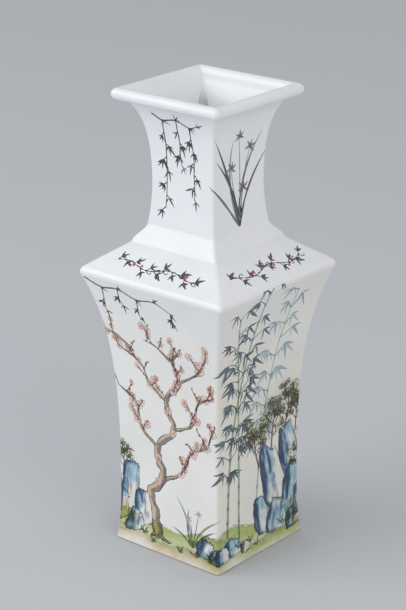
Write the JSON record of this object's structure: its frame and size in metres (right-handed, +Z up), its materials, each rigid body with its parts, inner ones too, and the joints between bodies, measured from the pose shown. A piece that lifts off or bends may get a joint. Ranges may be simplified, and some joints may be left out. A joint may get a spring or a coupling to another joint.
{
  "type": "square baluster vase",
  "caption": "Tall square vase with a waisted body, sloping shoulders, waisted neck and rolled lip, for flowers or display.",
  "frame": {"origin": "centre of the square foot, on the surface that the vase stands on", "axes": "+Z up along the vase's axis; the four sides face -Y (front), +X (right), +Y (back) and -X (left)"},
  "size_m": [0.1296, 0.1296, 0.3401],
  "materials": {
    "porcelain_glaze": "clear glaze over white porcelain, painted over the glaze on the outside",
    "seam_glaze": "thin grey-white glaze over the pressed seams inside"
  },
  "bodies": {
    "root": {"base_slab": "porcelain_glaze", "body_wall_front": "porcelain_glaze", "body_wall_right": "porcelain_glaze", "body_wall_back": "porcelain_glaze", "body_wall_left": "porcelain_glaze", "shoulder_front": "porcelain_glaze", "shoulder_right": "porcelain_glaze", "shoulder_back": "porcelain_glaze", "shoulder_left": "porcelain_glaze", "neck_wall_front": "porcelain_glaze", "neck_wall_right": "porcelain_glaze", "neck_wall_back": "porcelain_glaze", "neck_wall_left": "porcelain_glaze", "lip_front": "porcelain_glaze", "lip_right": "porcelain_glaze", "lip_back": "porcelain_glaze", "lip_left": "porcelain_glaze", "base_roll_front": "seam_glaze", "base_roll_right": "seam_glaze", "base_roll_back": "seam_glaze", "base_roll_left": "seam_glaze", "body_roll_front_right": "seam_glaze", "body_roll_back_right": "seam_glaze", "body_roll_back_left": "seam_glaze", "body_roll_front_left": "seam_glaze", "neck_roll_front_right": "seam_glaze", "neck_roll_back_right": "seam_glaze", "neck_roll_back_left": "seam_glaze", "neck_roll_front_left": "seam_glaze"}
  },
  "joints": []
}
